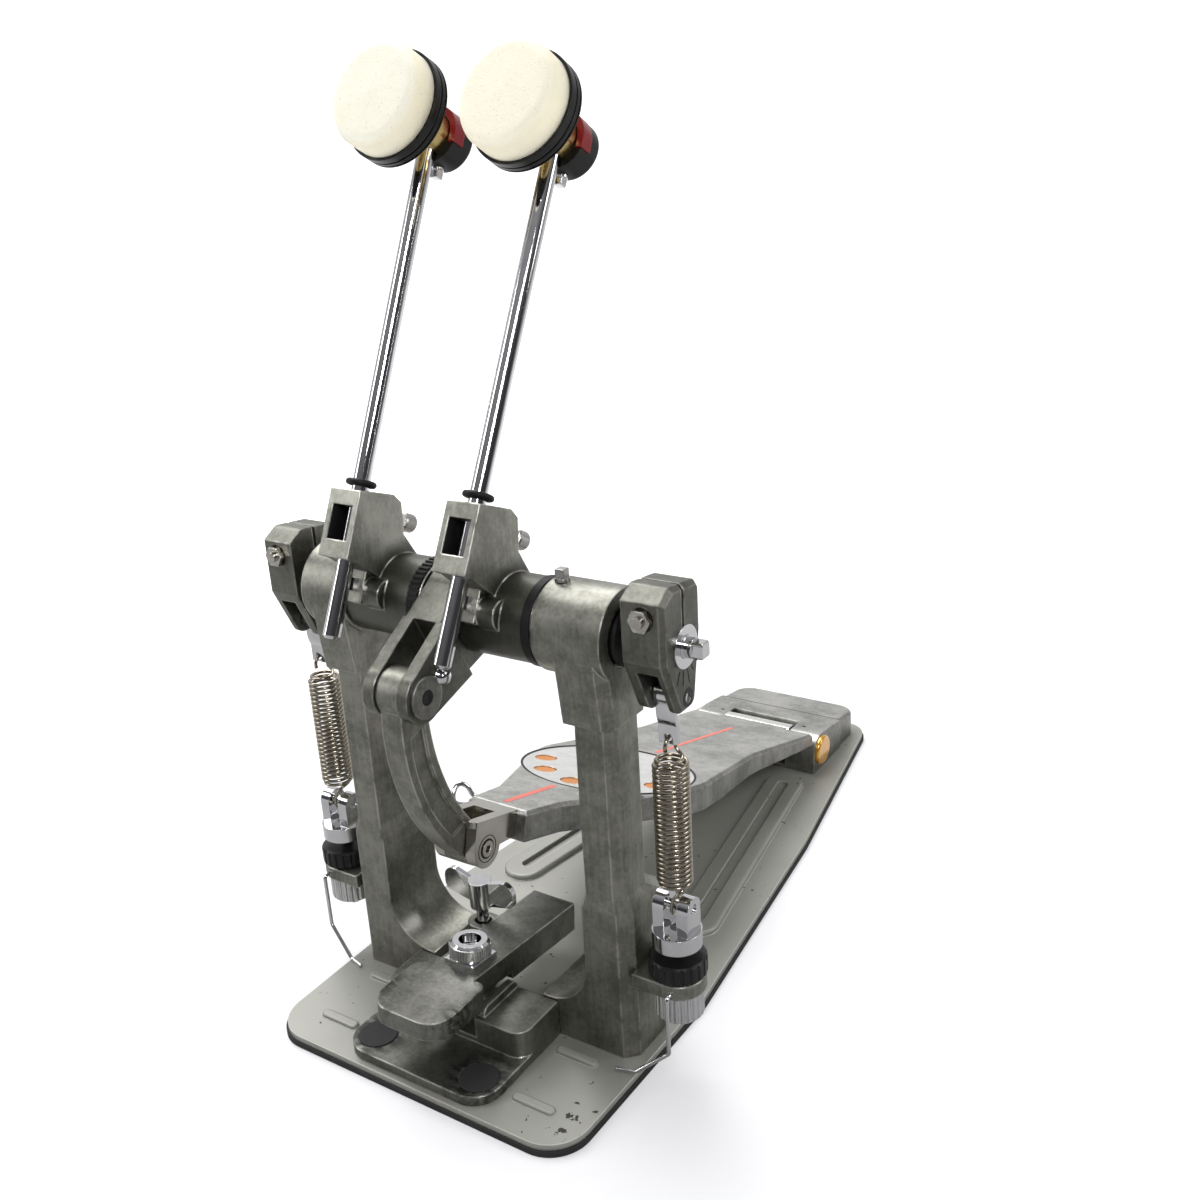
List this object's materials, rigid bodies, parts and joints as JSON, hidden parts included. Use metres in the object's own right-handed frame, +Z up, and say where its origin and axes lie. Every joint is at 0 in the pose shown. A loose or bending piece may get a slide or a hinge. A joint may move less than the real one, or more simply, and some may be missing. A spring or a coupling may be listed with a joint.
{
  "type": "double bass drum pedal",
  "caption": "Bass drum pedal with a footboard on a heel hinge, a link to a pair of sprung axles that each swing a felt beater, and a hoop clamp on a base plate.",
  "frame": {"origin": "on the floor under the axle, on the plane half way between the posts", "axes": "+X along the axle to the right seen from the drum, +Y from the drum to the heel, +Z up"},
  "size_m": [0.244, 0.4446, 0.4563],
  "materials": {
    "cast_aluminium": "worn bare casting",
    "chrome": "polished plating",
    "nickel": "warm nickel plating",
    "plate_paint": "champagne grey paint with chips",
    "screw_steel": "black oxide",
    "mat_rubber": "matt black",
    "ring_rubber": "matt black",
    "black_plastic": "satin black",
    "felt": "pressed felt",
    "brass": "satin",
    "red_plastic": "gloss",
    "disc_metal": "satin",
    "orange_rubber": "satin",
    "amber_cap": "gloss"
  },
  "bodies": {
    "frame": {"rubber_mat": "mat_rubber", "base_plate": "plate_paint", "base_screws": "screw_steel", "post_left": "cast_aluminium", "post_right": "cast_aluminium", "axle_bearings": "screw_steel", "clamp_base": "cast_aluminium", "hoop_pads": "mat_rubber", "clamp_stud": "chrome", "heel_block": "cast_aluminium", "hinge_block": "cast_aluminium", "hinge_caps": "amber_cap", "tension_brackets": "cast_aluminium", "lock_wires": "chrome", "clevises": "chrome", "tension_rods": "chrome"},
    "jaw": {"clamp_jaw": "cast_aluminium", "clamp_nut": "chrome"},
    "wing": {"wing_screw": "chrome"},
    "main_axle": {"axle_main": "chrome", "hub_right": "cast_aluminium", "hub_screws_right": "chrome", "cam_right": "cast_aluminium", "cam_bolts_right": "chrome", "drive_arm": "cast_aluminium", "link_pin": "nickel"},
    "left_axle": {"axle_left": "chrome", "hub_left": "cast_aluminium", "hub_screws_left": "chrome", "cam_left": "cast_aluminium", "cam_bolts_left": "chrome"},
    "link": {"drive_link": "cast_aluminium"},
    "board": {"footboard": "cast_aluminium", "toe_bracket": "nickel", "toe_pin": "nickel", "foot_disc": "disc_metal", "disc_dots": "orange_rubber", "hinge_rod": "chrome"},
    "hanger_left": {"hanger_left": "chrome"},
    "spring_left": {"spring_left": "nickel"},
    "beater_left": {"beater_rod_left": "chrome", "stop_ring_left": "ring_rubber", "felt_left": "felt", "rim_left": "black_plastic", "collar_left": "brass", "clip_left": "red_plastic", "barrel_left": "black_plastic"},
    "knob_left": {"knob_left": "black_plastic"},
    "nut_left": {"nut_left": "chrome"},
    "hanger_right": {"hanger_right": "chrome"},
    "spring_right": {"spring_right": "nickel"},
    "beater_right": {"beater_rod_right": "chrome", "stop_ring_right": "ring_rubber", "felt_right": "felt", "rim_right": "black_plastic", "collar_right": "brass", "clip_right": "red_plastic", "barrel_right": "black_plastic"},
    "knob_right": {"knob_right": "black_plastic"},
    "nut_right": {"nut_right": "chrome"}
  },
  "joints": [
    {"name": "main_axle_swing", "type": "hinge", "parent": "frame", "child": "main_axle", "pos_m": [0, 0, 0.217], "axis": [1, 0, 0], "range_deg": [-4, 30], "stiffness_Nm_per_rad": 2.5},
    {"name": "left_axle_swing", "type": "hinge", "parent": "frame", "child": "left_axle", "pos_m": [0, 0, 0.217], "axis": [1, 0, 0], "range_deg": [-4, 30], "stiffness_Nm_per_rad": 2.5},
    {"name": "footboard_hinge", "type": "hinge", "parent": "frame", "child": "board", "pos_m": [0, 0.294, 0.02], "axis": [1, 0, 0], "range_deg": [-1, 6]},
    {"name": "link_pivot", "type": "hinge", "parent": "main_axle", "child": "link", "pos_m": [0, -0.048, 0.194], "axis": [1, 0, 0], "range_deg": [-46, 8]},
    {"name": "wing_turn", "type": "hinge", "parent": "frame", "child": "wing", "pos_m": [-0.022, 0.014, 0], "axis": [0, 0, 1], "range_deg": [0, 1260]},
    {"name": "jaw_tilt", "type": "hinge", "parent": "frame", "child": "jaw", "pos_m": [0, -0.024, 0.034], "axis": [1, 0, 0], "range_deg": [0, 8]},
    {"name": "hanger_left_pivot", "type": "hinge", "parent": "left_axle", "child": "hanger_left", "pos_m": [-0.1022, 0.002, 0.1935], "axis": [1, 0, 0], "range_deg": [-38, 6]},
    {"name": "spring_left_stretch", "type": "slide", "parent": "hanger_left", "child": "spring_left", "axis": [0, 0, -1], "range_m": [-0.001, 0.006], "deforming": ["spring_left"]},
    {"name": "beater_left_height", "type": "slide", "parent": "left_axle", "child": "beater_left", "axis": [0, 0.4337, 0.9011], "range_m": [0, 0.025]},
    {"name": "knob_left_turn", "type": "hinge", "parent": "frame", "child": "knob_left", "pos_m": [-0.1022, 0.002, 0.05], "axis": [0, 0, 1], "continuous": true},
    {"name": "nut_left_turn", "type": "hinge", "parent": "frame", "child": "nut_left", "pos_m": [-0.1022, 0.002, 0.05], "axis": [0, 0, 1], "continuous": true},
    {"name": "hanger_right_pivot", "type": "hinge", "parent": "main_axle", "child": "hanger_right", "pos_m": [0.1022, 0.002, 0.1935], "axis": [1, 0, 0], "range_deg": [-38, 6]},
    {"name": "spring_right_stretch", "type": "slide", "parent": "hanger_right", "child": "spring_right", "axis": [0, 0, -1], "range_m": [-0.001, 0.006], "deforming": ["spring_right"]},
    {"name": "beater_right_height", "type": "slide", "parent": "main_axle", "child": "beater_right", "axis": [0, 0.4648, 0.8854], "range_m": [0, 0.025]},
    {"name": "knob_right_turn", "type": "hinge", "parent": "frame", "child": "knob_right", "pos_m": [0.1022, 0.002, 0.05], "axis": [0, 0, 1], "continuous": true},
    {"name": "nut_right_turn", "type": "hinge", "parent": "frame", "child": "nut_right", "pos_m": [0.1022, 0.002, 0.05], "axis": [0, 0, 1], "continuous": true}
  ],
  "couplings": [
    {"joint": "footboard_hinge", "follows": "main_axle_swing", "ratio": 0.16422},
    {"joint": "link_pivot", "follows": "main_axle_swing", "ratio": -1.4712},
    {"joint": "jaw_tilt", "follows": "wing_turn", "ratio": 0.0063492},
    {"joint": "hanger_left_pivot", "follows": "left_axle_swing", "ratio": -1.2029},
    {"joint": "spring_left_stretch", "follows": "left_axle_swing", "m_per_rad": 0.009089},
    {"joint": "hanger_right_pivot", "follows": "main_axle_swing", "ratio": -1.2029},
    {"joint": "spring_right_stretch", "follows": "main_axle_swing", "m_per_rad": 0.009089}
  ]
}
